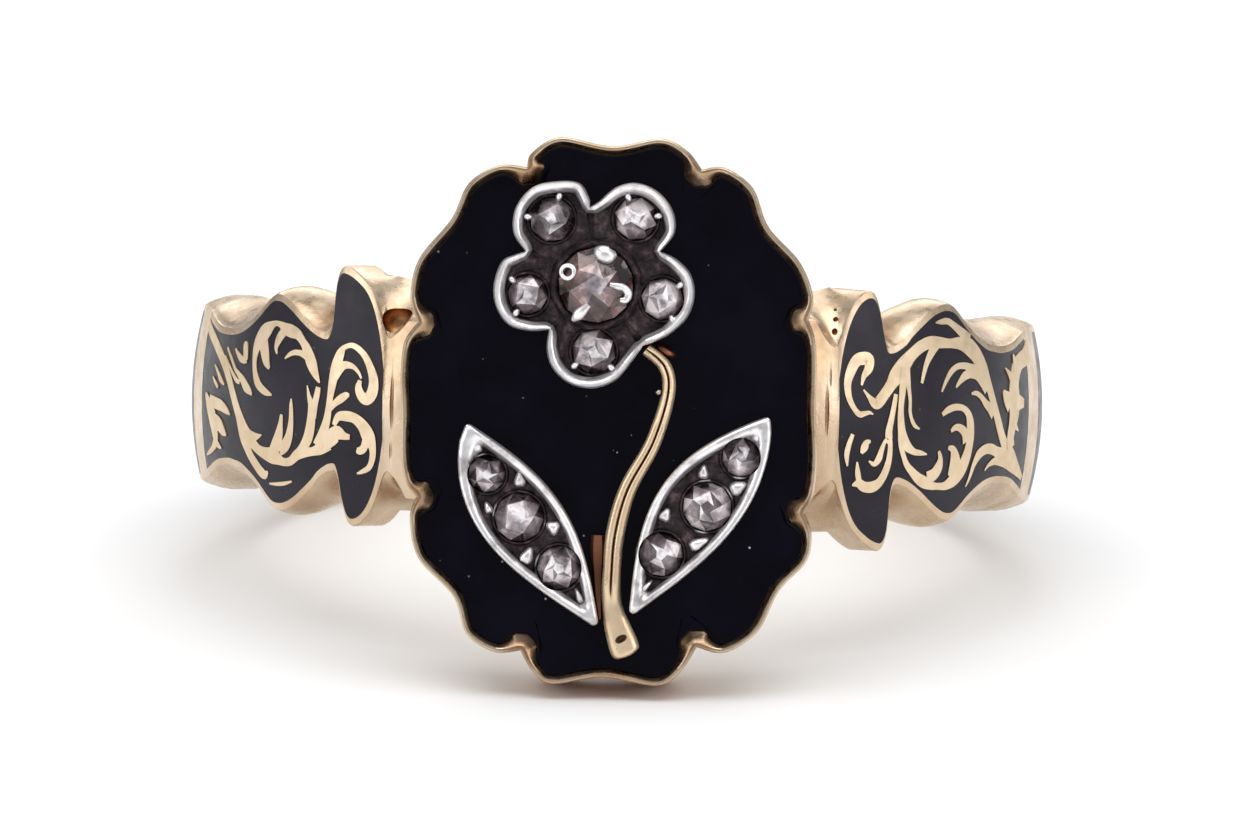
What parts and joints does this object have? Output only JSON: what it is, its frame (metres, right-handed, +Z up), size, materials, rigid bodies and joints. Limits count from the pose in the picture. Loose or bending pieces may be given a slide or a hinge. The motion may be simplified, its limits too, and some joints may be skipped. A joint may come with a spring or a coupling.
{
  "type": "mourning ring",
  "caption": "Finger ring with a scalloped enamelled face, an applied flower spray set with rose cut stones, and wavy enamelled shoulders.",
  "frame": {"origin": "on the surface that the ring lies on, under the middle of its box", "axes": "+Z up from the surface; +Y across the finger hole from the face to the back of the hoop; +X to the right as the face is seen"},
  "size_m": [0.0202, 0.0224, 0.0126],
  "materials": {
    "gold": "polished pale yellow gold, worn",
    "stem_gold": "polished pale yellow gold",
    "face_enamel": "polished black vitreous enamel",
    "hoop_enamel": "satin charcoal vitreous enamel",
    "silver": "silver with bright edges and tarnished hollows",
    "diamond": "rose cut, closed backed"
  },
  "bodies": {
    "root": {"hoop": "gold", "face_enamel": "face_enamel", "shoulder_enamel_left": "hoop_enamel", "shoulder_enamel_right": "hoop_enamel", "back_enamel": "hoop_enamel", "flower_setting": "silver", "flower_centre_stone": "diamond", "petal_stone_1": "diamond", "petal_stone_2": "diamond", "petal_stone_3": "diamond", "petal_stone_4": "diamond", "petal_stone_5": "diamond", "leaf_setting_left": "silver", "leaf_setting_right": "silver", "leaf_left_stone_1": "diamond", "leaf_left_stone_2": "diamond", "leaf_left_stone_3": "diamond", "leaf_right_stone_1": "diamond", "leaf_right_stone_2": "diamond", "leaf_right_stone_3": "diamond", "stem": "stem_gold"}
  },
  "joints": []
}
